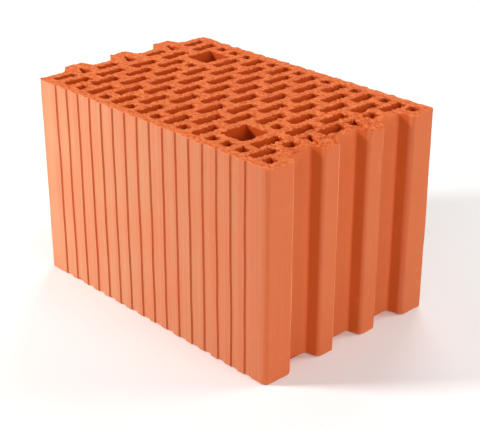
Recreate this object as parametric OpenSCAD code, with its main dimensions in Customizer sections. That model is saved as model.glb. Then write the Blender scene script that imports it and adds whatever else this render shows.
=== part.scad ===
// Perforated fired-clay building block for a 25 cm wall, as it is laid in the wall: its slots run
// upright, its grooved end points along +X and its tongues along -X. Millimetres, with the origin in
// the middle of the underside.
//
// The block was pushed through a die and cut with a wire, so it is one flat section with a height.
// The section is drawn from x = 0 at the feet of the tongues, and y = 0 on the block's long axis.

/* [Block] */
// Length without the tongues, from their feet to the grooved end
body_l = 373; // [360:1:390]
// Width, which becomes the thickness of the wall
body_w = 250; // [240:1:260]
// Height between the two cut faces
body_h = 238; // [50:1:300]
// Radius of the four upright corners
corner_r = 6; // [2:0.5:8]

/* [Joint] */
// Spacing of the three grooves, and of the three tongues
joint_pitch = 66.7; // [62:0.1:70]
// Depth of a groove, from the plane of the corner ridges
groove_d = 19.5; // [15:0.5:21]
// Width of a groove at its mouth
mouth_w = 45.3; // [42:0.1:47]
// How far the slanted flank of a groove leans in, from its mouth to its floor
slant_run = 12.5; // [8:0.5:14]
// How far the steep flank of a groove leans in, from its mouth to its floor
steep_run = 4.3; // [2:0.1:6]
// How far the two middle ridges stand back from the corner ridges
ridge_back = 2.4; // [0:0.1:4]
// Gap between the tip of a tongue and the floor of its groove
tip_gap = 2.5; // [1:0.5:5]
// Gap between a tongue and the slanted flank of its groove
slant_gap = 1; // [0.5:0.1:2]
// Gap between a tongue and the steep flank of its groove
steep_gap = 4.3; // [2:0.1:5]

/* [Long faces] */
// Number of upright plaster keys in each long face
keys = 16; // [4:1:18]
// Distance of the outer keys from the ends of the body
key_margin = 32; // [30:1:40]
// Depth of a key
key_d = 1.6; // [0.5:0.1:2.5]
// Width of the flat bottom of a key
key_flat = 8; // [4:0.5:9]
// Width of the slope that brings a key back out to the face
key_slope = 3.5; // [1:0.5:5]

/* [Slots] */
// Clay between the slots and the long faces
shell = 12.5; // [10:0.5:15]
// Width of a slot, along the block
slot_w = 13; // [11:0.5:15]
// Clay between two slots of a row
slot_gap = 11; // [8:0.5:13]
// How much shorter the outer slots of a row of five are than its other slots
outer_cut = 3.5; // [0:0.5:6]
// Length of the short holes that fill up a row, across the block
stub_l = 13; // [10:0.5:15]
// Radius of the corners of the slots
slot_r = 3.2; // [1:0.1:4]
// Distance of the first regular row from the feet of the tongues
first_row = 37; // [35:0.5:39]
// Distance of the last regular row from the grooved end
last_row = 54; // [53:0.5:57]

/* [End rows] */
// Width of the slots between the tongues
foot_slot_w = 11; // [8:0.5:12]
// Length of the slots between the tongues
foot_slot_l = 29; // [24:0.5:31]
// Distance of the row between the tongues from their feet
foot_row = 15; // [14:0.5:16]
// Distance of the two inner slots of that row from the long axis
foot_inner_y = 36.5; // [34:0.5:38]
// Distance of the row behind the grooves from the grooved end
back_row = 34.5; // [34:0.5:36]
// Length of the middle slot behind the grooves
back_slot_l = 33.5; // [26:0.5:35]
// Length of the two short holes behind the outer grooves
back_stub_l = 17.5; // [13:0.5:19]
// Distance of these two short holes from the long axis
back_stub_y = 60.5; // [59:0.5:62]
// Distance of the holes in the corner ridges from the grooved end
corner_row = 16; // [15:0.5:17]
// Length of the three-sided holes in the tongues and middle ridges, from flat side to tip
wedge_l = 23.5; // [16:0.5:25]
// Width of these holes at their flat side
wedge_w = 16; // [12:0.5:17]
// Distance of the flat side from the feet of the tongues
tongue_wedge_x = 19; // [17:0.5:20]
// Distance of the flat side from the grooved end
ridge_wedge_x = 39; // [37:0.5:40]

/* [Hidden] */

FIRED_CLAY = "#DD7047";

// Number of sides that a full circle would have
$fn = 12;
// Radii of the section's corners: inside ones, outside ones and the crisp edges of the slanted flanks
INSIDE_R = 3.5;
OUTSIDE_R = 4.5;
CRISP_R = 1.5;
// How far along the face the steep side of a key runs
KEY_STEEP = 0.6;
// Where a tongue's three-sided hole starts, past the slanted corner of the tongue's tip
TONGUE_WEDGE_AT = 1;
// Where a middle ridge's three-sided hole starts, ahead of the mouth of the groove beside it
RIDGE_WEDGE_AT = 19.5;
// How far along the flat side the tip of such a hole lies, in a tongue and in a ridge
TONGUE_WEDGE_LEAN = 0.6;
RIDGE_WEDGE_LEAN = 0.25;
// Number of regular rows of slots, from the tongues to the grooves
ROWS = 14;
// Rows whose slots give way to the grip holes: the grip near the tongues, and the one near the grooves
TONGUE_GRIP = [2, 3];
GROOVE_GRIP = [12, 13];

tongue_l = groove_d - tip_gap;
foot_x = (tongue_l - body_l) / 2;
half_w = body_w / 2;
clear_y = half_w - shell;
row_pitch = (body_l - first_row - last_row) / (ROWS - 1);
slot_l = (2 * clear_y + 2 * outer_cut - 4 * slot_gap) / 5;
slot_pitch = slot_l + slot_gap;
key_pitch = (body_l - 2 * key_margin) / (keys - 1);
grip_y = 1.5 * slot_pitch;

function row_x(row) = first_row + (row - 1) * row_pitch;

function in_grip(row) = len(search(row, concat(TONGUE_GRIP, GROOVE_GRIP))) > 0;

// Where groove k (-1, 0 or 1) begins on the grooved end, on its slanted side
function mouth_y(k) = k * joint_pitch - mouth_w / 2;

function unit(v) = v / norm(v);

// The arc of radius r that rounds corner b between its neighbours a and c
function corner_arc(a, b, c, r) =
    let(
        u = unit(a - b),
        v = unit(c - b),
        half = acos(u * v) / 2,
        middle = b + unit(u + v) * r / sin(half),
        from = b + u * r / tan(half) - middle,
        start = atan2(from.y, from.x),
        sweep = -sign(cross(u, v)) * (180 - 2 * half),
        steps = ceil(abs(sweep) * $fn / 360)
    )
    [for (i = [0 : steps]) middle + r * [cos(start + sweep * i / steps), sin(start + sweep * i / steps)]];

// An outline given as corners [x, y, r], where r rounds the corner and 0 leaves it sharp
module rounded_outline(corners) {
    n = len(corners);
    points = [
        for (i = [0 : n - 1])
            let(
                corner = corners[i],
                a = corners[(i + n - 1) % n],
                c = corners[(i + 1) % n]
            )
            each corner.z == 0
                ? [[corner.x, corner.y]]
                : corner_arc([a.x, a.y], [corner.x, corner.y], [c.x, c.y], corner.z)
    ];
    polygon(points);
}

// The keys of the long face at y = -half_w, from the tongues to the grooves: each has a steep side
// that faces the grooved end, a flat bottom and a slope back out
function keyed_face() = [
    for (i = [0 : keys - 1])
        let(x = key_margin + i * key_pitch)
        each [
            [x, -half_w, 0],
            [x + KEY_STEEP, key_d - half_w, 0],
            [x + KEY_STEEP + key_flat, key_d - half_w, 0],
            [x + KEY_STEEP + key_flat + key_slope, -half_w, 0]
        ]
];

// Groove k across the grooved end, from its slanted flank to its steep one
function groove(k) =
    let(
        y = mouth_y(k),
        slant_x = body_l - (k == -1 ? 0 : ridge_back),
        steep_x = body_l - (k == 1 ? 0 : ridge_back),
        floor_x = body_l - groove_d
    )
    [
        [slant_x, y, CRISP_R],
        [floor_x, y + slant_run, INSIDE_R],
        [floor_x, y + mouth_w - steep_run, INSIDE_R],
        [steep_x, y + mouth_w, OUTSIDE_R]
    ];

// The tongue that enters groove k of the next block, from its steep flank to its slanted one
function tongue(k) =
    let(
        near = mouth_y(k) + slant_gap,
        far = mouth_y(k) + mouth_w - steep_gap
    )
    [
        [0, far, INSIDE_R],
        [-tongue_l, far - steep_run, OUTSIDE_R],
        [-tongue_l, near + slant_run, CRISP_R],
        [0, near, 2 * INSIDE_R]
    ];

function mirrored_back(corners) = [
    for (i = [len(corners) - 1 : -1 : 0]) [corners[i].x, -corners[i].y, corners[i].z]
];

module section_outline() {
    rounded_outline([
        [0, -half_w, corner_r],
        each keyed_face(),
        [body_l, -half_w, corner_r],
        for (k = [-1 : 1]) each groove(k),
        [body_l, half_w, corner_r],
        each mirrored_back(keyed_face()),
        [0, half_w, corner_r],
        for (k = [1 : -1 : -1]) each tongue(k)
    ]);
}

// A hole of width w around x, from y0 to y1
module hole(x, w, y0, y1) {
    rounded_outline([
        [x - w / 2, y0, slot_r],
        [x + w / 2, y0, slot_r],
        [x + w / 2, y1, slot_r],
        [x - w / 2, y1, slot_r]
    ]);
}

// A three-sided hole with its flat side at x from y on, and its tip in the direction (-1 or 1) of dir
module wedge_hole(x, y, dir, lean) {
    rounded_outline([
        [x, y, slot_r / 2],
        [x + dir * wedge_l, y + lean * wedge_w, slot_r / 2],
        [x, y + wedge_w, slot_r / 2]
    ]);
}

module full_slot(x, y) {
    hole(x, slot_w, max(y - slot_l / 2, -clear_y), min(y + slot_l / 2, clear_y));
}

// The short hole next to a long face, on the side (-1 or 1) of the long axis
module shell_stub(x, side) {
    outer = side * clear_y;
    inner = side * (clear_y - stub_l);
    hole(x, slot_w, min(outer, inner), max(outer, inner));
}

// A row of five slots
module odd_row(x, steps = [-2 : 2]) {
    for (step = steps) full_slot(x, step * slot_pitch);
}

// A row of four slots, which lie beside the gaps of its neighbours, between two short holes
module even_row(x, steps = [-1.5 : 1.5]) {
    for (step = steps) full_slot(x, step * slot_pitch);
    for (side = [-1, 1]) shell_stub(x, side);
}

module regular_rows() {
    for (row = [1 : ROWS]) {
        if (!in_grip(row) && row % 2 == 1) odd_row(row_x(row));
        if (!in_grip(row) && row % 2 == 0) even_row(row_x(row));
    }
}

// The two rows around the square hole that a hand grips, with the side (-1 or 1) that it is on
module grip(even, odd, side) {
    left = min(row_x(even), row_x(odd)) - slot_w / 2;
    right = max(row_x(even), row_x(odd)) + slot_w / 2;
    hole((left + right) / 2, right - left, side * grip_y - slot_l / 2, side * grip_y + slot_l / 2);

    even_row(row_x(even), [for (step = [-1.5 : 1.5]) if (step != 1.5 * side) step]);

    odd_row(row_x(odd), [for (step = [-2 : 2]) if (step * side < 1) step]);
    shell_stub(row_x(odd), side);
    rest = side * (slot_pitch - slot_l / 2);
    rest_end = rest + side * stub_l;
    hole(row_x(odd), slot_w, min(rest, rest_end), max(rest, rest_end));
}

// Slots between the tongues, and a three-sided hole in each tongue
module tongue_end_holes() {
    for (side = [-1, 1]) {
        outer = side * (clear_y - foot_slot_l / 2);
        for (y = [outer, side * foot_inner_y])
            hole(foot_row, foot_slot_w, y - foot_slot_l / 2, y + foot_slot_l / 2);
    }
    for (k = [-1 : 1])
        wedge_hole(tongue_wedge_x, mouth_y(k) + slant_run + TONGUE_WEDGE_AT, -1, TONGUE_WEDGE_LEAN);
}

// The row behind the grooves, the three-sided holes in the middle ridges and the corner holes
module groove_end_holes() {
    x = body_l - back_row;
    hole(x, slot_w, -back_slot_l / 2, back_slot_l / 2);
    for (side = [-1, 1]) {
        full_slot(x, side * 2 * slot_pitch);
        hole(x, slot_w, side * back_stub_y - back_stub_l / 2, side * back_stub_y + back_stub_l / 2);
        shell_stub(body_l - corner_row, side);
    }
    for (k = [0, 1]) wedge_hole(body_l - ridge_wedge_x, mouth_y(k) - RIDGE_WEDGE_AT, 1, RIDGE_WEDGE_LEAN);
}

module clay_block() {
    color(FIRED_CLAY)
        translate([foot_x, 0, 0])
            linear_extrude(height = body_h)
                difference() {
                    section_outline();
                    regular_rows();
                    grip(TONGUE_GRIP[0], TONGUE_GRIP[1], 1);
                    grip(GROOVE_GRIP[0], GROOVE_GRIP[1], -1);
                    tongue_end_holes();
                    groove_end_holes();
                }
}

clay_block();
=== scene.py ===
"""The looks of a perforated clay block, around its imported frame: a Blender add-on, run as a script."""

import math

import bmesh
import bpy
from bpy.props import FloatProperty, FloatVectorProperty, PointerProperty
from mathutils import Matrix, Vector, noise


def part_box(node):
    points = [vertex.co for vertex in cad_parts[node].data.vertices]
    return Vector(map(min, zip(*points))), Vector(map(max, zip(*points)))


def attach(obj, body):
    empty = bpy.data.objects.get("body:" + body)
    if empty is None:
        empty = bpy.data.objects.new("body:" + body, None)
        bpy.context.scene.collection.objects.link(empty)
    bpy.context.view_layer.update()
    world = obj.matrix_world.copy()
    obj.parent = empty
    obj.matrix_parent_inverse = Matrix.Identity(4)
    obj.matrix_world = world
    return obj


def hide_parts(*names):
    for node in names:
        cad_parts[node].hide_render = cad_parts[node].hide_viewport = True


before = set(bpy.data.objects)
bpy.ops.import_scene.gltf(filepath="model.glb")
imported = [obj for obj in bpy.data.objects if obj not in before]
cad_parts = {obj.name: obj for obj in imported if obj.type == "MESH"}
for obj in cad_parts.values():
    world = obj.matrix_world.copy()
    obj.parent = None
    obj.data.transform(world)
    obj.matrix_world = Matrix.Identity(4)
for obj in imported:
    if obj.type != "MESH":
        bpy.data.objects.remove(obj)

bl_info = {
    "name": "Perforated Clay Block",
    "version": (1, 0, 0),
    "blender": (4, 5, 0),
    "location": "3D View > Sidebar > Clay Block",
    "description": "Wire-cut, fired look of a perforated clay block and the studio it stands in",
    "category": "Object",
}

MM = 0.001
NODE = "clay_block"
FRAME_LOW, FRAME_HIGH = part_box(NODE)
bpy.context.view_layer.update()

# Where the camera stood: the photo looks at the corner between the front long face and the grooved end
CAMERA_PLACE = Vector((914.5, -835.4, 655.7)) * MM
CAMERA_HEADING = math.radians(-46.81)
CAMERA_DIP = math.radians(24.64)
CAMERA_LENS = 88.35

# How far the floor reaches to each side, and how far it lies under the block
FLOOR_REACH = 6
FLOOR_GAP = 0.2 * MM

# Points closer than this are one point
TOUCH = 0.01 * MM
# Cuts closer to a point than this go through the point
SNAP = 0.15 * MM
# Faces that turn less than this from each other are one flat face
SAME_PLANE = math.radians(1)
# Faces that turn more than this from each other meet at an edge that shows
SHARP_TURN = math.radians(38)

# Depths of the two rings of points round each rim of the top: the wear fades out at the lower one
RIM_DEPTHS = (1.4 * MM, 5 * MM)
# Height above the underside at which the wear of its rims fades out
BED_RIM_DEPTH = 2.5 * MM
# Width of the strip round each rim that the wire rounds over
RIM_WIDTH = 1.0 * MM
# Rim edges shorter than this are fine enough, and aren't split
RIM_EDGE = 0.8 * MM
# Spacing of the cuts across the outer walls
WALL_STEP = 8 * MM

# Deeper than a plaster key, and the width of the strip at the foot of its steep side that gets a painted
# shadow
KEY_DEPTH = 1.8 * MM
KEY_CORNER = 1 * MM
# Longer than the steep side is along the block
KEY_STEEP = 0.8 * MM
# Walls nearer to the box than this are the long face itself, between the keys
FACE_SKIN = 0.2 * MM
# Wider than any facet of a crisp arris, and farther from the end than any of them. These facets get a painted
# highlight
ARRIS_WIDTH = 1.2 * MM
ARRIS_REACH = 5 * MM

# Where the wire left the clay: it tears more and more along the block, less and less to each side
EXIT_ALONG = (120 * MM, 180 * MM)
EXIT_MIDDLE = -15 * MM
EXIT_ACROSS = (55 * MM, 100 * MM)

# How far apart the humps of each wave are: chips, the teeth of the rims, and the lumps of the top
CHIP_SIZE = 10 * MM
COARSE_TEETH = 5 * MM
MIDDLE_TEETH = 2.3 * MM
FINE_TEETH = 1.3 * MM
FURROW_SIZE = 6 * MM
LUMP_SIZE = 2.9 * MM
CREASE_SIZE = 4.5 * MM
# The same on the underside
BED_TEETH = 6 * MM
BED_LUMP = 9 * MM
# And on the long faces
WANDER_SIZE = 17 * MM
DIP_SIZE = 34 * MM

# How far a chip moves a rim of the top back and down, and the cut face beside it down
CHIP_BACK = 1.1 * MM
CHIP_DOWN = 1.4 * MM
CHIP_FACE_DOWN = 0.9 * MM
# How far a chip moves the underside's rims
BED_CHIP = 1 * MM
# How far the wire rounds the rims over, at the top and at the underside
RIM_DROP = 0.4 * MM
BED_RIM_RISE = 0.3 * MM
# The deepest bite out of a rim, and the farthest that an outer rim may stand out
DEEPEST_BITE = 2.2 * MM
OUTER_BURR = 0.1 * MM
# Depth of the creases where the wire left the clay
CREASE_DEPTH = 1.2 * MM
# Depth of the long faces' dips
DIP_DEPTH = 0.25 * MM
# The underside's shares of the tear and of the ragged rims
BED_TEAR = 0.6
BED_RAGGED = 0.4
# The long edges are cut cleaner than the slots: their share of a rim's drop
LONG_EDGE_DROP = 0.55
# How much of a rim's move the strip beside it follows
RIM_DRAG = 0.55


def linear(hex_colour):
    """The linear, opaque colour of an sRGB hex value."""
    parts = [int(hex_colour[i : i + 2], 16) / 255 for i in (1, 3, 5)]
    return (*(p / 12.92 if p <= 0.04045 else ((p + 0.055) / 1.055) ** 2.4 for p in parts), 1)


class BlockLooks(bpy.types.PropertyGroup):
    """Sizes and colours of the fired clay."""

    cut_step: FloatProperty(
        name="Top detail",
        description="Spacing of the points on the upper cut face, which the photo shows",
        default=1.5 * MM, min=1 * MM, subtype="DISTANCE", unit="LENGTH",
    )
    bed_step: FloatProperty(
        name="Underside detail",
        description="Spacing of the points on the lower cut face",
        default=5 * MM, min=2 * MM, subtype="DISTANCE", unit="LENGTH",
    )
    tear: FloatProperty(
        name="Tear",
        description="Depth of the furrows that the cutting wire drags through the clay",
        default=0.9 * MM, subtype="DISTANCE", unit="LENGTH",
    )
    ragged: FloatProperty(
        name="Ragged rims",
        description="How far the torn rim of a slot strays from the die's line",
        default=2.8 * MM, subtype="DISTANCE", unit="LENGTH",
    )
    waver: FloatProperty(
        name="Waver",
        description="How far the plaster keys wander while the clay leaves the die",
        default=0.5 * MM, subtype="DISTANCE", unit="LENGTH",
    )
    # Painted light: the long face's colour at the tongues, made paler as a painted light falloff and painted
    # sheen, since the key light falls strongest there
    lit_end_colour: FloatVectorProperty(
        name="Pale long face",
        description="Long face under the pale bloom that drying left, most of it at the tongues",
        default=linear("#DFA27C"), size=4, subtype="COLOR", min=0, max=1,
    )
    # The long face's colour at the grooved end, where the painted light falloff is darkest
    face_colour: FloatVectorProperty(
        name="Long faces",
        description="Long face near the grooved end, with little bloom",
        default=linear("#CB815D"), size=4, subtype="COLOR", min=0, max=1,
    )
    cut_colour: FloatVectorProperty(
        name="Cut faces",
        description="Torn clay of the top and the underside",
        default=linear("#DE6833"), size=4, subtype="COLOR", min=0, max=1,
    )
    joint_colour: FloatVectorProperty(
        name="Joint faces",
        description="Smooth clay of the tongues and ridges",
        default=linear("#D9764A"), size=4, subtype="COLOR", min=0, max=1,
    )
    floor_colour: FloatVectorProperty(
        name="Groove floors",
        description="Clay of the floors of the grooves and between the tongues",
        default=linear("#E57C48"), size=4, subtype="COLOR", min=0, max=1,
    )
    # Painted shade: the groove flanks lie in shade, and this deeper colour paints it on them
    shaded_flank_colour: FloatVectorProperty(
        name="Flanks",
        description="Clay of the groove flanks, which the die presses hardest",
        default=linear("#C75B23"), size=4, subtype="COLOR", min=0, max=1,
    )
    # Painted shade: the deep, dark colour of the slots' walls stands for the shade inside them
    shaded_hole_colour: FloatVectorProperty(
        name="Hole walls",
        description="Clay inside the slots, which kept the deep colour of the kiln",
        default=linear("#D05410"), size=4, subtype="COLOR", min=0, max=1,
    )


def steps(low, high, step):
    """Places that divide a length evenly, about one step apart, without its two ends."""
    count = max(1, round((high - low) / step))
    return [low + (high - low) * i / count for i in range(1, count)]


def with_edges(faces):
    """The faces with their edges and points, as bisect_plane wants them."""
    whole = set(faces)
    for face in faces:
        whole.update(face.edges)
        whole.update(face.verts)
    return list(whole)


def slice_across(bm, faces, axis, places, snap):
    """Cuts the faces at each place along the axis: in the middle first, then each half by itself."""
    if not places or not faces:
        return
    middle = len(places) // 2
    at, normal = Vector(), Vector()
    at[axis] = places[middle]
    normal[axis] = 1
    cut = bmesh.ops.bisect_plane(bm, geom=with_edges(faces), dist=snap, plane_co=at, plane_no=normal)
    for edge in cut["geom_cut"]:
        if isinstance(edge, bmesh.types.BMEdge):
            edge.seam = False
    below, above = [], []
    for face in cut["geom"]:
        if isinstance(face, bmesh.types.BMFace):
            (below if face.calc_center_median()[axis] < places[middle] else above).append(face)
    slice_across(bm, below, axis, places[:middle], snap)
    slice_across(bm, above, axis, places[middle + 1 :], snap)


def upright(face):
    """Whether a face is a wall and not part of a cut face."""
    return abs(face.normal.z) < 0.5


def worth_splitting(edge):
    """Whether an edge of the top's rims, or of the ring of points just below, is long enough to split."""
    low, high = sorted(point.co.z for point in edge.verts)
    if high - low > TOUCH or edge.calc_length() < RIM_EDGE:
        return False
    depth = FRAME_HIGH.z - low
    walls = sum(upright(face) for face in edge.link_faces)
    return walls == 1 and depth < TOUCH or walls == 2 and abs(depth - RIM_DEPTHS[0]) < TOUCH


def cut_key_corners(bm, outer):
    """Cuts the strip beside each plaster key's steep side off its bottom, and says where the strips start."""
    inner = FRAME_HIGH.y - KEY_DEPTH
    keys = [face for face in bm.faces if face[outer] and abs(face.calc_center_median().y) > inner]
    # The steep side looks towards the grooved end and a little outwards
    steep = [face for face in keys if face.normal.x > 0.9 and abs(face.normal.y) > 0.2]
    starts = sorted({round(max(point.co.x for point in face.verts), 5) for face in steep})
    slice_across(bm, keys, 0, [start + KEY_CORNER for start in starts], SNAP)
    return starts


def mark_corners(bm, outer, starts):
    """Marks the steep side of each plaster key with the strip beside it, which get a painted shadow, and the
    ends' crisp arrises, which get a painted highlight.
    """
    key_shadow = bm.faces.layers.int.new("key_shadow")
    lit_arris = bm.faces.layers.int.new("lit_arris")
    for face in bm.faces:
        if not face[outer]:
            continue
        middle = face.calc_center_median()
        if upright(face) and abs(middle.x) > FRAME_HIGH.x - ARRIS_REACH:
            width = max((point.co - other.co).xy.length for point in face.verts for other in face.verts)
            face[lit_arris] = int(width < ARRIS_WIDTH)
        # The key's steep side and the strip beside it, which get a painted shadow
        if FRAME_HIGH.y - KEY_DEPTH < abs(middle.y) < FRAME_HIGH.y - FACE_SKIN:
            inside = any(start - KEY_STEEP < middle.x < start + KEY_CORNER for start in starts)
            face[key_shadow] = int(inside and upright(face))


def block_mesh(looks):
    """The node's mesh with its flat faces cut fine enough to wear, its outer walls marked."""
    bm = bmesh.new()
    bm.from_mesh(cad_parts[NODE].data)
    bmesh.ops.remove_doubles(bm, verts=bm.verts, dist=TOUCH)
    for edge in bm.edges:
        edge.seam = edge.calc_face_angle(0) < SAME_PLANE

    outer = bm.faces.layers.int.new("outer")
    found = [min(filter(upright, bm.faces), key=lambda face: face.calc_center_median().y)]
    found[0][outer] = 1
    while found:
        for edge in found.pop().edges:
            for face in edge.link_faces:
                if upright(face) and not face[outer]:
                    face[outer] = 1
                    found.append(face)

    top, bed = FRAME_HIGH.z, FRAME_LOW.z
    levels = sorted([bed + BED_RIM_DEPTH] + [top - depth for depth in RIM_DEPTHS])
    slice_across(bm, bm.faces[:], 2, levels, 0)
    walls = [face for face in bm.faces if face[outer]]
    slice_across(bm, walls, 2, steps(levels[0], levels[1], WALL_STEP), 0)
    key_starts = cut_key_corners(bm, outer)
    for side in (1, -1):
        cut_face = [face for face in bm.faces if not upright(face) and face.normal.z * side > 0]
        bmesh.ops.inset_region(
            bm, faces=cut_face, thickness=RIM_WIDTH, depth=0, use_even_offset=True, use_boundary=True
        )

    for axis in (0, 1):
        band = [face for face in bm.faces if face.calc_center_median().z > top - RIM_DEPTHS[0]]
        slice_across(bm, band, axis, steps(FRAME_LOW[axis], FRAME_HIGH[axis], looks.cut_step), SNAP)
        band = [face for face in bm.faces if face.calc_center_median().z < bed + BED_RIM_DEPTH]
        slice_across(bm, band, axis, steps(FRAME_LOW[axis], FRAME_HIGH[axis], looks.bed_step), SNAP)
    bmesh.ops.dissolve_edges(bm, edges=[edge for edge in bm.edges if edge.seam], use_verts=True)
    mark_corners(bm, bm.faces.layers.int["outer"], key_starts)

    rims = [edge for edge in bm.edges if worth_splitting(edge)]
    bmesh.ops.subdivide_edges(bm, edges=rims, cuts=1, use_grid_fill=False)
    return bm


def swell(place, size, seed):
    """A soft wave from about -1 to 1 whose humps are about size apart."""
    return 1.6 * noise.noise(place / size + Vector((seed, 3.7 * seed, -1.9 * seed)))


def smooth(value, low, high):
    """0 below low, 1 above high, and a smooth way between."""
    share = min(max((value - low) / (high - low), 0), 1)
    return share * share * (3 - 2 * share)


def facing(walls):
    """The level direction that walls face together. It has no length where there are none."""
    side = Vector()
    for face in walls:
        side += face.normal * face.calc_area()
    side.z = 0
    if side.length > 0:
        side.normalize()
    return side


def on_long_side(side):
    """Whether outer walls that face that way belong to a long side of the block."""
    return abs(side.y) > 0.4


def near_exit(place):
    """How near a place is to where the wire left the clay, at the grooved end, from 0 to 1."""
    return smooth(place.x, *EXIT_ALONG) * (1 - smooth(abs(place.y - EXIT_MIDDLE), *EXIT_ACROSS))


def tearing(place):
    """How hard the wire tears: it tore most where it left the clay."""
    return 0.7 + near_exit(place)


def chipping(flat):
    """How far a place has chipped, which is 0 for most places."""
    return smooth(swell(flat, CHIP_SIZE, 5), 0.6, 1.3) * tearing(flat)


def top_wear(looks, place, side, on_rim, outside):
    """How the wire moves a point of the top, or just below it, and how pale it leaves the clay there: paler
    where the clay tore and chipped, plus a painted highlight on the rims.
    """
    flat = Vector((place.x, place.y, 0))
    depth = FRAME_HIGH.z - place.z
    fade = 1 - depth / RIM_DEPTHS[-1]
    chip = chipping(flat)
    # Each wave has a seed of its own and its share of the whole
    teeth = 0.4 * swell(flat, COARSE_TEETH, 1) + 0.7 * swell(flat, MIDDLE_TEETH, 2)
    teeth += 0.6 * swell(flat, FINE_TEETH, 11)
    # The wire draws the furrows out to twice their size along the block
    furrow = swell(Vector((place.x * 0.5, place.y, 0)), FURROW_SIZE, 3)
    hump = 0.5 * furrow + 0.75 * swell(flat, LUMP_SIZE, 4)
    crease = max(0.0, 1 - 2.6 * abs(swell(flat, CREASE_SIZE, 12)))

    move = Vector()
    drop = looks.tear * tearing(flat) * (0.9 + hump)
    if on_rim:
        # Rims that face the tongues catch on the wire
        catch = 0.35 + 0.65 * max(0.0, -side.x)
        reach = looks.ragged * catch * (0.5 if outside else 1.0)
        out = max(reach * (teeth - 0.1) - chip * CHIP_BACK, -DEEPEST_BITE)
        move += side * (min(out, OUTER_BURR) if outside else out) * fade
        drop += RIM_DROP * (1 + teeth) * tearing(flat) + chip * CHIP_DOWN
    else:
        drop += chip * CHIP_FACE_DOWN
    drop += CREASE_DEPTH * near_exit(flat) * crease
    if outside and on_long_side(side):
        drop *= LONG_EDGE_DROP
    move.z -= max(0.0, drop) * fade
    # How pale the clay is: paler with the lumps, the tears and the chips, and a painted highlight added on
    # every rim
    torn_and_lit = 0.45 + 0.4 * hump + 0.5 * chip + (0.45 if on_rim else 0)
    return move, min(1.0, max(0.0, torn_and_lit)) if depth < TOUCH else 0.0


def bed_wear(looks, place, side, on_rim, outside):
    """How the wire moves a point of the underside, or just above it, and how pale the clay is painted there,
    palest at the underside.
    """
    flat = Vector((place.x, place.y, 0))
    fade = 1 - (place.z - FRAME_LOW.z) / BED_RIM_DEPTH
    chip = chipping(flat)
    move = Vector()
    rise = BED_TEAR * looks.tear * (0.4 + 0.5 * swell(flat, BED_LUMP, 7))
    if on_rim:
        out = BED_RAGGED * looks.ragged * (swell(flat, BED_TEETH, 6) - 0.2) - chip * BED_CHIP
        move += side * (min(out, 0.0) if outside else out) * fade
        rise += BED_RIM_RISE + chip * BED_CHIP
    move.z += max(0.0, rise) * fade
    return move, 0.5 * fade


def face_waver(looks, place):
    """How far a place of the long faces wanders along the block, and how deep it dips."""
    slow = Vector((place.x, 0.3 * place.y, place.z * 0.3))
    wander = looks.waver * swell(slow, WANDER_SIZE, 8)
    return wander, max(0.0, DIP_DEPTH * (0.6 + swell(slow, DIP_SIZE, 9)))


def wear(bm, looks):
    """Moves the points as the die, the cutting wire and the kiln did, and notes how pale each one is painted:
    paler where the clay tore, and a painted highlight on the rims.
    """
    torn_and_lit = bm.verts.layers.float.new("torn_and_lit")
    outer = bm.faces.layers.int["outer"]
    moves, rims = {}, set()
    for point in bm.verts:
        place = point.co.copy()
        walls = [face for face in point.link_faces if upright(face)]
        outside = any(face[outer] for face in walls)
        side = facing(walls)
        move = Vector()
        if FRAME_HIGH.z - place.z < RIM_DEPTHS[-1] - TOUCH:
            move, point[torn_and_lit] = top_wear(looks, place, side, bool(walls), outside)
            if walls:
                rims.add(point)
        elif place.z - FRAME_LOW.z < BED_RIM_DEPTH - TOUCH:
            move, point[torn_and_lit] = bed_wear(looks, place, side, bool(walls), outside)
        if outside and on_long_side(side):
            wander, dip = face_waver(looks, place)
            move.x += wander
            move.y -= math.copysign(dip, place.y)
        moves[point] = move
    # The strip beside a rim is dragged along with it
    for point, move in moves.items():
        beside = [edge.other_vert(point) for edge in point.link_edges if edge.other_vert(point) in rims]
        if point not in rims and beside and FRAME_HIGH.z - point.co.z < TOUCH:
            drag = sum((moves[other] for other in beside), Vector()) * RIM_DRAG / len(beside)
            move.x, move.y = move.x + drag.x, move.y + drag.y
    # Nothing may leave the node's box
    for point, move in moves.items():
        for axis in range(3):
            point.co[axis] = min(max(point.co[axis] + move[axis], FRAME_LOW[axis]), FRAME_HIGH[axis])


def add_node(tree, kind, inputs=None, output=0, **settings):
    """Adds a shader node with its settings. Each input is a value, or the socket that feeds it."""
    node = tree.nodes.new("ShaderNode" + kind)
    for name, value in settings.items():
        setattr(node, name, value)
    for name, value in (inputs or {}).items():
        if isinstance(value, bpy.types.NodeSocket):
            tree.links.new(value, node.inputs[name])
        else:
            node.inputs[name].default_value = value
    return None if output is None else node.outputs[output]


# Sockets of the Mix node when it mixes colours
SHARE, FIRST, SECOND, MIXED = 0, 6, 7, 2


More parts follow.
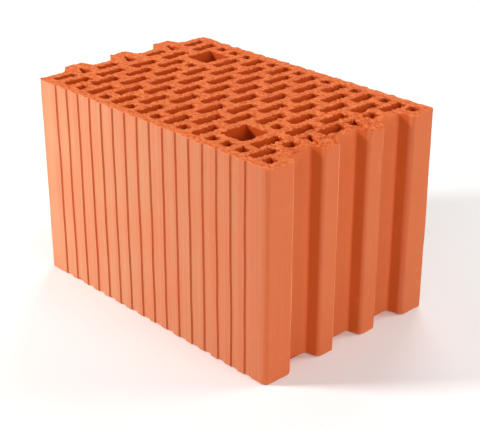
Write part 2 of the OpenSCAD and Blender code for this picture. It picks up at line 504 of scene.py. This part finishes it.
def fired_clay(looks):
    """Fired brick clay, pushed through a die, cut with a wire and fired. It is matt and porous all over.
    The die leaves fine upright streaks, the wire tears the cut faces, and the kiln leaves soft clouds.
    Painted shade deepens the groove flanks, the slots and the keys' shadowed strips; painted highlights pale
    the rims, the arrises and the raised crumbs, and the long face is painted paler towards the key light."""
    material = bpy.data.materials.new("fired_clay")
    material.use_nodes = True
    tree = material.node_tree
    tree.nodes.clear()

    place = add_node(tree, "TexCoord", output="Object")
    along = add_node(tree, "SeparateXYZ", {0: place}, "X")
    across = add_node(tree, "Math", {0: add_node(tree, "SeparateXYZ", {0: place}, "Y")}, operation="ABSOLUTE")
    height = add_node(tree, "SeparateXYZ", {0: place}, "Z")
    tilt = add_node(tree, "SeparateXYZ", {0: add_node(tree, "NewGeometry", output="Normal")}, "Z")
    tilt = add_node(tree, "Math", {0: tilt}, operation="ABSOLUTE")
    # What the making of the mesh noted on its faces and points
    outer, torn_and_lit, lit_arris, key_shadow = (
        add_node(tree, "Attribute", output="Fac", attribute_name=name)
        for name in ("outer", "torn_and_lit", "lit_arris", "key_shadow")
    )

    # Where each kind of face lies: how far inside the box it starts to show, where it is full, and how full
    zones = {
        "near_face": (across, FRAME_HIGH.y, 3.5 * MM, KEY_DEPTH, 1.0),
        "before_corner": (along, FRAME_HIGH.x, 3.5 * MM, 6 * MM, 1.0),
        "past_floor": (along, FRAME_HIGH.x, 18.5 * MM, 16 * MM, 1.0),
        "ridge": (along, FRAME_HIGH.x, 7 * MM, 4 * MM, 1.0),
        # The top 2 mm of the slots' walls, where the painted shade gives way to the cut faces' colour
        "unshaded_rim": (height, FRAME_HIGH.z, 2 * MM, 0.5 * MM, 0.7),
    }
    for name, (value, edge, start, full, most) in zones.items():
        span = {"Value": value, "From Min": edge - start, "From Max": edge - full, "To Max": most}
        zones[name] = add_node(tree, "MapRange", span)
    level = add_node(tree, "MapRange", {"Value": tilt, "From Min": 0.35, "From Max": 0.75})
    inner = add_node(tree, "Math", {0: 1.0, 1: outer}, operation="SUBTRACT")
    long_face = add_node(tree, "Math", {0: zones["near_face"], 1: outer}, operation="MULTIPLY")
    long_face = add_node(tree, "Math", {0: zones["before_corner"], 1: long_face}, operation="MULTIPLY")
    before_ridge = add_node(tree, "Math", {0: 1.0, 1: zones["ridge"]}, operation="SUBTRACT")
    flank = add_node(tree, "Math", {0: zones["past_floor"], 1: before_ridge}, operation="MULTIPLY")
    # Painted light falloff along the long face: from the pale colour at the tongues, nearest the key light,
    # to the darker colour at the grooved end
    painted_falloff = add_node(tree, "MapRange", {"Value": along, "From Min": -190 * MM, "From Max": 180 * MM})

    # What each pattern follows, how wide its grains are in millimetres, its detail and its roughness
    upright_grain = add_node(tree, "Mapping", {"Vector": place, "Scale": (1, 1, 0.005)})
    upright_bands = add_node(tree, "Mapping", {"Vector": place, "Scale": (1, 1, 0.006)})
    drawn_by_wire = add_node(tree, "Mapping", {"Vector": place, "Scale": (0.7, 1, 1)})
    patterns = {
        "streaks": (upright_grain, 0.9, 4.0, 0.6),
        "bands": (upright_bands, 4, 3.0, 0.6),
        "crumbs": (drawn_by_wire, 3.6, 2.0, 0.5),
        "grit": (place, 0.7, 4.0, 0.7),
        "clouds": (place, 70, 2.0, 0.5),
        "flecks": (place, 18, 4.0, 0.6),
    }
    for name, (grain, width, detail, roughness) in patterns.items():
        # At a scale of 1 a grain is one metre wide
        pattern = {"Vector": grain, "Scale": 1000 / width, "Detail": detail, "Roughness": roughness}
        patterns[name] = add_node(tree, "TexNoise", pattern)

    # Between which values of a pattern each share rises, and from what to what
    shares = {
        "banded": ("bands", 0.4, 0.6, 0.0, 1.0),
        "arris_highlight": ("clouds", 0.35, 0.65, 0.3, 0.65),
        "scored": ("streaks", 0.56, 0.7, 0.0, 0.4),
        # painted shade in the pits and painted highlight on the raised crumbs
        "relief_share": ("crumbs", 0.4, 0.62, 0.0, 1.0),
        "rim_highlight": ("crumbs", 0.38, 0.6, 0.2, 0.85),
        "specked": ("grit", 0.64, 0.82, 0.0, 0.15),
        "clouded": ("clouds", 0.35, 0.65, 0.0, 0.18),
        "flecked": ("flecks", 0.6, 0.8, 0.0, 0.2),
        "dull": ("grit", 0.2, 0.8, 0.82, 0.95),
    }
    for name, (pattern, low, high, least, most) in shares.items():
        span = {"From Min": low, "From Max": high, "To Min": least, "To Max": most}
        shares[name] = add_node(tree, "MapRange", {"Value": patterns[pattern], **span})
    # Painted highlight: patches of pale colour on the narrow facets of the ends' arrises
    arris_highlight = add_node(tree, "Math", {0: shares["arris_highlight"], 1: lit_arris}, operation="MULTIPLY")
    # Painted highlight: pale on the rims and the raised crumbs, following the paleness noted on the points
    rim_highlight = add_node(tree, "Math", {0: shares["rim_highlight"], 1: torn_and_lit}, operation="MULTIPLY")
    # Painted shadow: deep orange on each key's steep side and the strip beside it, where the key's own shadow
    # falls
    painted_key_shadow = add_node(tree, "Math", {0: key_shadow, 1: 0.55}, operation="MULTIPLY")

    # Colours that are mixed of two: a share of the second in the first. The cut face is painted dark in the
    # pits and pale on the raised crumbs: painted shade and painted highlight that follow its bumps.
    tints = {
        # painted shade inside the slots, fading to the cut faces' colour at the top
        "holes": (zones["unshaded_rim"], tuple(looks.shaded_hole_colour), tuple(looks.cut_colour)),
        # painted light falloff along the long face
        "faces": (painted_falloff, tuple(looks.lit_end_colour), tuple(looks.face_colour)),
        "bands": (shares["banded"], linear("#F9FCF6"), linear("#FFE8E4")),
        "relief_shading": (shares["relief_share"], linear("#C34E19"), linear("#F38241")),
    }
    for name, (share, first, second) in tints.items():
        mix = {SHARE: share, FIRST: first, SECOND: second}
        tints[name] = add_node(tree, "Mix", mix, MIXED, data_type="RGBA")
    cut = {SHARE: 0.5, FIRST: tuple(looks.cut_colour), SECOND: tints["relief_shading"]}
    cut = add_node(tree, "Mix", cut, MIXED, data_type="RGBA")

    # Each layer covers the ones before it by its share: walls first, then the cut faces, then all over
    colour = tuple(looks.floor_colour)
    for share, tint, blend in (
        (zones["past_floor"], tuple(looks.joint_colour), "MIX"),
        # painted shade on the groove flanks
        (flank, tuple(looks.shaded_flank_colour), "MIX"),
        (inner, tints["holes"], "MIX"),
        (long_face, tints["faces"], "MIX"),
        (long_face, tints["bands"], "MULTIPLY"),
        # painted shadow of the plaster keys
        (painted_key_shadow, linear("#D5551F"), "MIX"),
        # painted highlight on the ends' arrises
        (arris_highlight, linear("#FFA870"), "MIX"),
        (shares["scored"], linear("#BE6238"), "MIX"),
        (level, cut, "MIX"),
        # painted highlight on the rims and raised crumbs, and paler clay where it tore
        (rim_highlight, linear("#FA9356"), "MIX"),
        (shares["specked"], linear("#A94A20"), "MIX"),
        (shares["clouded"], linear("#DC6234"), "MIX"),
        (shares["flecked"], linear("#E6925F"), "MIX"),
    ):
        layer = {SHARE: share, FIRST: colour, SECOND: tint}
        colour = add_node(tree, "Mix", layer, MIXED, data_type="RGBA", blend_type=blend)

    # Relief: the pattern of each layer, its height and its strength
    wall = add_node(tree, "Math", {0: 1.0, 1: level}, operation="SUBTRACT")
    half_wall = add_node(tree, "Math", {0: wall, 1: 0.5}, operation="MULTIPLY")
    gritty = add_node(tree, "MapRange", {"Value": level, "To Min": 0.12, "To Max": 0.3})
    relief = {}
    for name, tall, strength in (
        ("streaks", 0.12 * MM, half_wall),
        ("bands", 0.5 * MM, half_wall),
        ("crumbs", 2.5 * MM, level),
        ("grit", 0.5 * MM, gritty),
    ):
        bump = {"Height": patterns[name], "Distance": tall, "Strength": strength, **relief}
        relief = {"Normal": add_node(tree, "Bump", bump)}

    surface = {"Base Color": colour, "Roughness": shares["dull"], **relief}
    surface |= {"IOR": 1.5, "Specular IOR Level": 0.15, "Diffuse Roughness": 0.6}
    add_node(tree, "OutputMaterial", {"Surface": add_node(tree, "BsdfPrincipled", surface)}, None)
    return material


def link_piece(bm, name, material):
    """Makes an object of the mesh, at the origin, with the material."""
    mesh = bpy.data.meshes.new(name)
    bm.to_mesh(mesh)
    bm.free()
    mesh.materials.append(material)
    piece = bpy.data.objects.new(name, mesh)
    bpy.context.scene.collection.objects.link(piece)
    return piece


class CLAYBLOCK_OT_block(bpy.types.Operator):
    """Make the fired clay block with its torn rims and streaked faces"""

    bl_idname = "clay_block.block"
    bl_label = "Fired Block"

    def execute(self, context):
        looks = context.scene.block_looks
        bm = block_mesh(looks)
        wear(bm, looks)
        bmesh.ops.triangulate(bm, faces=bm.faces)
        bm.normal_update()
        for face in bm.faces:
            face.smooth = True
        for edge in bm.edges:
            edge.seam = False
            edge.smooth = edge.calc_face_angle(0) < SHARP_TURN
        piece = link_piece(bm, "fired_block", fired_clay(looks))
        # Flat faces stay flat right up to the rounded corners beside them
        flatten = piece.modifiers.new("flat_faces", "WEIGHTED_NORMAL")
        flatten.keep_sharp = True
        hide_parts(NODE)
        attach(piece, "root")
        return {"FINISHED"}


def matt_board():
    """White painted board: matt, evenly rolled, with no pattern that shows."""
    material = bpy.data.materials.new("matt_white_board")
    material.use_nodes = True
    shader = material.node_tree.nodes["Principled BSDF"]
    shader.inputs["Base Color"].default_value = linear("#F8F8F7")
    shader.inputs["Roughness"].default_value = 0.95
    shader.inputs["Specular IOR Level"].default_value = 0.1
    return material


def pale_room(scene):
    """A pale room whose walls and ceiling give soft light."""
    scene.world = bpy.data.worlds.new("pale_room")
    scene.world.use_nodes = True
    tree = scene.world.node_tree
    tree.nodes["Background"].inputs["Color"].default_value = linear("#FFFFFF")
    tree.nodes["Background"].inputs["Strength"].default_value = 0.14


def soft_light(name, place, aim, size, power):
    """A square area light that faces a point. Places and sizes are in metres, and the power is in watts."""
    light = bpy.data.lights.new(name, "AREA")
    light.size = size
    light.energy = power
    lamp = bpy.data.objects.new(name, light)
    lamp.location = place
    lamp.visible_camera = False
    lamp.rotation_euler = (Vector(aim) - Vector(place)).to_track_quat("-Z", "Y").to_euler()
    bpy.context.scene.collection.objects.link(lamp)


class CLAYBLOCK_OT_studio(bpy.types.Operator):
    """Set up the pale floor, the soft lights and the camera at the photo's angle"""

    bl_idname = "clay_block.studio"
    bl_label = "Studio"

    def execute(self, context):
        scene = context.scene
        bm = bmesh.new()
        bmesh.ops.create_grid(bm, x_segments=4, y_segments=4, size=FLOOR_REACH)
        bmesh.ops.translate(bm, verts=bm.verts, vec=(0, 0, -FLOOR_GAP))
        link_piece(bm, "floor", matt_board())
        pale_room(scene)

        middle = (0, 0, 0.12)
        soft_light("key", (-1.18, -1.45, 1.08), middle, 0.47, 44)
        soft_light("side_fill", (1.9, -0.05, 1.15), middle, 1.0, 13)
        soft_light("back_wash", (1.3, 1.9, 1.5), (0.5, 0.5, 0), 1.2, 25)
        soft_light("overhead", (0.6, 0.2, 2.3), middle, 1.2, 6)
        soft_light("front_fill", (1.0, -1.6, 0.3), middle, 0.5, 7)
        soft_light("backdrop", (-1.5, 2.2, 2.1), (-0.8, 1.2, 0), 1.6, 45)

        heading = Vector((math.sin(CAMERA_HEADING), math.cos(CAMERA_HEADING), 0)) * math.cos(CAMERA_DIP)
        heading.z = -math.sin(CAMERA_DIP)
        camera = bpy.data.objects.new("camera", bpy.data.cameras.new("camera"))
        camera.data.lens = CAMERA_LENS
        camera.location = CAMERA_PLACE
        camera.rotation_euler = heading.to_track_quat("-Z", "Y").to_euler()
        scene.collection.objects.link(camera)
        scene.camera = camera
        scene.view_settings.view_transform = "Standard"
        return {"FINISHED"}


class CLAYBLOCK_PT_sidebar(bpy.types.Panel):
    """The block, its looks and the studio"""

    bl_idname = "CLAYBLOCK_PT_sidebar"
    bl_label = "Clay Block"
    bl_space_type = "VIEW_3D"
    bl_region_type = "UI"
    bl_category = "Clay Block"

    def draw(self, context):
        looks = context.scene.block_looks
        for name in BlockLooks.__annotations__:
            self.layout.prop(looks, name)
        self.layout.operator(CLAYBLOCK_OT_block.bl_idname)
        self.layout.operator(CLAYBLOCK_OT_studio.bl_idname)


CLASSES = (BlockLooks, CLAYBLOCK_OT_block, CLAYBLOCK_OT_studio, CLAYBLOCK_PT_sidebar)


def register():
    for cls in CLASSES:
        bpy.utils.register_class(cls)
    bpy.types.Scene.block_looks = PointerProperty(type=BlockLooks)


def unregister():
    del bpy.types.Scene.block_looks
    for cls in reversed(CLASSES):
        bpy.utils.unregister_class(cls)


def main():
    register()
    bpy.ops.clay_block.block()
    bpy.ops.clay_block.studio()


if __name__ == "__main__":
    main()
